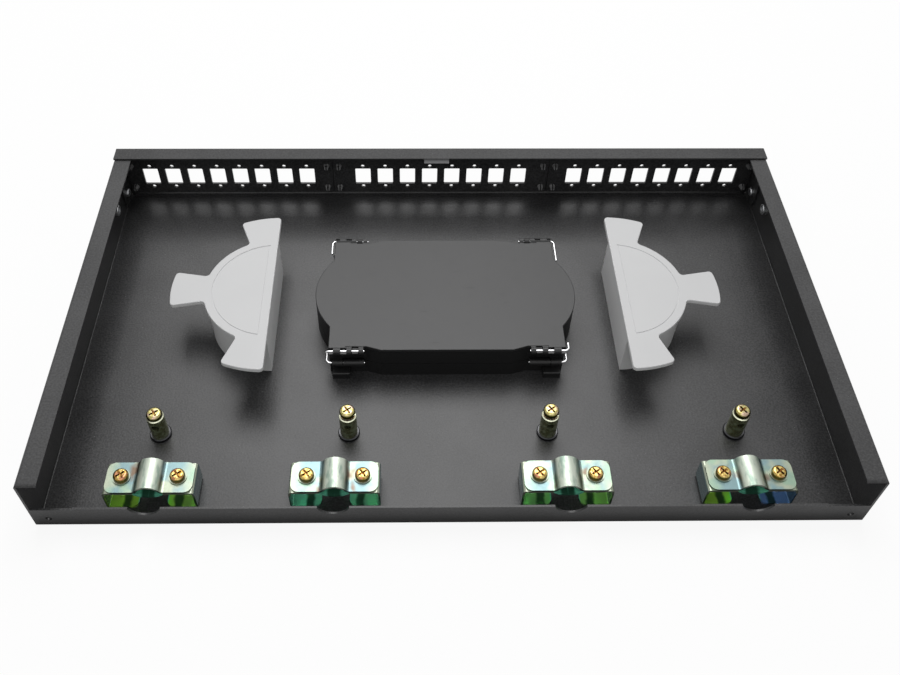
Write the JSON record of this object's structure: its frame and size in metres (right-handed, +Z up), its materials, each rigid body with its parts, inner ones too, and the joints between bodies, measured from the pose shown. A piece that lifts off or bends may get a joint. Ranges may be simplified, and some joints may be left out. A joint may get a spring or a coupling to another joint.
{
  "type": "rack mount fibre patch panel",
  "caption": "Low black steel rack tray for optical fibre with a port wall, round winding spools, a hinged splice tray stack and cable clamps.",
  "frame": {"origin": "centre of the outer box on the underside of the floor", "axes": "+X across the panel, +Y from the cable entry side to the port side, +Z up"},
  "size_m": [0.44, 0.26, 0.042],
  "materials": {
    "black_powder_coat": "fine-grained semi-gloss black powder coat",
    "grey_nylon": "moulded grey nylon",
    "bright_zinc": "bright zinc plate",
    "light_grey_plastic": "satin light grey moulded plastic",
    "plain_steel": "plain zinc-plated steel",
    "black_plastic": "satin black moulded plastic",
    "dark_grey_plastic": "satin dark grey moulded plastic",
    "pale_plastic": "soft pale plastic",
    "bright_wire": "bright drawn steel wire",
    "iridescent_zinc": "clear zinc plate with a faint green and pink sheen",
    "yellow_zinc": "yellow zinc plate",
    "pale_zinc": "pale zinc plate",
    "olive_zinc": "olive yellow zinc plate, turned",
    "dark_metal": "dark plated steel"
  },
  "bodies": {
    "housing": {"tray_housing": "black_powder_coat", "front_frame": "black_powder_coat", "adapter_plate_left": "black_powder_coat", "adapter_plate_middle": "black_powder_coat", "adapter_plate_right": "black_powder_coat", "plate_rivets_left": "grey_nylon", "plate_rivets_middle": "grey_nylon", "plate_rivets_right": "grey_nylon", "frame_screws_left": "bright_zinc", "frame_screws_right": "bright_zinc", "ear_inserts_left": "bright_zinc", "ear_inserts_right": "bright_zinc", "clamp_rivets": "bright_zinc", "spool_left": "light_grey_plastic", "spool_right": "light_grey_plastic", "spool_screws_left": "plain_steel", "spool_screws_right": "plain_steel", "splice_tray_screws": "plain_steel", "splice_tray_lower": "black_plastic", "splice_holder_lower": "pale_plastic", "wire_far_left_lower": "bright_wire", "wire_far_right_lower": "bright_wire", "clamp_base_1": "iridescent_zinc", "clamp_base_2": "iridescent_zinc", "clamp_base_3": "iridescent_zinc", "clamp_base_4": "iridescent_zinc", "post_1": "olive_zinc", "post_2": "olive_zinc", "post_3": "olive_zinc", "post_4": "olive_zinc", "post_collar_1": "dark_metal", "post_collar_2": "dark_metal", "post_collar_3": "dark_metal", "post_collar_4": "dark_metal"},
    "tray_upper": {"splice_tray_upper": "black_plastic", "splice_holder_upper": "pale_plastic", "wire_far_left_upper": "bright_wire", "wire_far_right_upper": "bright_wire"},
    "tray_lid": {"splice_tray_lid": "dark_grey_plastic"},
    "near_wire_left_upper": {"wire_near_left_upper": "bright_wire"},
    "near_wire_left_lower": {"wire_near_left_lower": "bright_wire"},
    "near_wire_right_upper": {"wire_near_right_upper": "bright_wire"},
    "near_wire_right_lower": {"wire_near_right_lower": "bright_wire"},
    "clamp_top_1": {"clamp_strap_1": "iridescent_zinc", "clamp_screws_1": "yellow_zinc", "clamp_washers_1": "pale_zinc"},
    "post_screw_body_1": {"post_screw_1": "yellow_zinc"},
    "clamp_top_2": {"clamp_strap_2": "iridescent_zinc", "clamp_screws_2": "yellow_zinc", "clamp_washers_2": "pale_zinc"},
    "post_screw_body_2": {"post_screw_2": "yellow_zinc"},
    "clamp_top_3": {"clamp_strap_3": "iridescent_zinc", "clamp_screws_3": "yellow_zinc", "clamp_washers_3": "pale_zinc"},
    "post_screw_body_3": {"post_screw_3": "yellow_zinc"},
    "clamp_top_4": {"clamp_strap_4": "iridescent_zinc", "clamp_screws_4": "yellow_zinc", "clamp_washers_4": "pale_zinc"},
    "post_screw_body_4": {"post_screw_4": "yellow_zinc"}
  },
  "joints": [
    {"name": "tray_hinge", "type": "hinge", "parent": "housing", "child": "tray_upper", "pos_m": [0, 0.057, 0.0129], "axis": [-1, 0, 0], "range_deg": [0, 60]},
    {"name": "lid_hinge", "type": "hinge", "parent": "tray_upper", "child": "tray_lid", "pos_m": [0, 0.057, 0.0239], "axis": [-1, 0, 0], "range_deg": [0, 90]},
    {"name": "near_wire_left_lower_pull", "type": "slide", "parent": "housing", "child": "near_wire_left_lower", "axis": [-1, 0, 0], "range_m": [0, 0.022]},
    {"name": "near_wire_left_upper_pull", "type": "slide", "parent": "tray_upper", "child": "near_wire_left_upper", "axis": [-1, 0, 0], "range_m": [0, 0.022]},
    {"name": "near_wire_right_lower_pull", "type": "slide", "parent": "housing", "child": "near_wire_right_lower", "axis": [1, 0, 0], "range_m": [0, 0.022]},
    {"name": "near_wire_right_upper_pull", "type": "slide", "parent": "tray_upper", "child": "near_wire_right_upper", "axis": [1, 0, 0], "range_m": [0, 0.022]},
    {"name": "clamp_1_lift", "type": "slide", "parent": "housing", "child": "clamp_top_1", "axis": [0, 0, 1], "range_m": [0, 0.005]},
    {"name": "clamp_2_lift", "type": "slide", "parent": "housing", "child": "clamp_top_2", "axis": [0, 0, 1], "range_m": [0, 0.005]},
    {"name": "clamp_3_lift", "type": "slide", "parent": "housing", "child": "clamp_top_3", "axis": [0, 0, 1], "range_m": [0, 0.005]},
    {"name": "clamp_4_lift", "type": "slide", "parent": "housing", "child": "clamp_top_4", "axis": [0, 0, 1], "range_m": [0, 0.005]},
    {"name": "post_screw_1_lift", "type": "slide", "parent": "housing", "child": "post_screw_body_1", "axis": [0, 0, 1], "range_m": [0, 0.006]},
    {"name": "post_screw_2_lift", "type": "slide", "parent": "housing", "child": "post_screw_body_2", "axis": [0, 0, 1], "range_m": [0, 0.006]},
    {"name": "post_screw_3_lift", "type": "slide", "parent": "housing", "child": "post_screw_body_3", "axis": [0, 0, 1], "range_m": [0, 0.006]},
    {"name": "post_screw_4_lift", "type": "slide", "parent": "housing", "child": "post_screw_body_4", "axis": [0, 0, 1], "range_m": [0, 0.006]}
  ]
}
